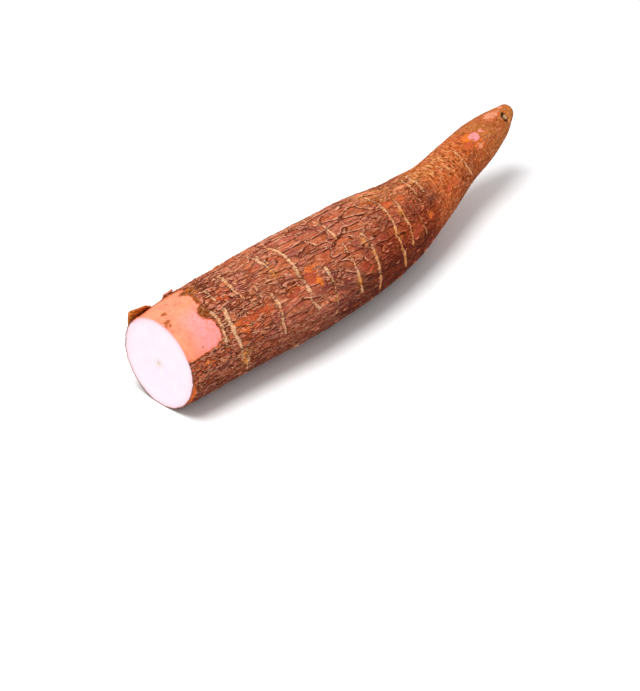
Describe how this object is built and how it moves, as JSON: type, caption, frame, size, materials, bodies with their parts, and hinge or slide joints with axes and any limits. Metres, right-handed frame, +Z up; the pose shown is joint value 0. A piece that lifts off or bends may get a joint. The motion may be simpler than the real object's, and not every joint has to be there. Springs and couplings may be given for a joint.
{
  "type": "cassava root",
  "caption": "Long tapering cassava root lying on its side, cut straight across its thick end, with cracked brown bark, pale cross welts and bare pink patches.",
  "frame": {"origin": "middle of the root's box on the surface that it lies on", "axes": "+X from the cut end to the tip, +Z up, +Y the side that the neck bends towards"},
  "size_m": [0.3396, 0.0654, 0.0629],
  "materials": {
    "bark": "rough cracked brown bark",
    "peel": "smooth pink inner bark, bare where the outer bark is gone",
    "flesh": "moist white cut flesh"
  },
  "bodies": {
    "root": {"cassava_root": "bark"}
  },
  "joints": []
}
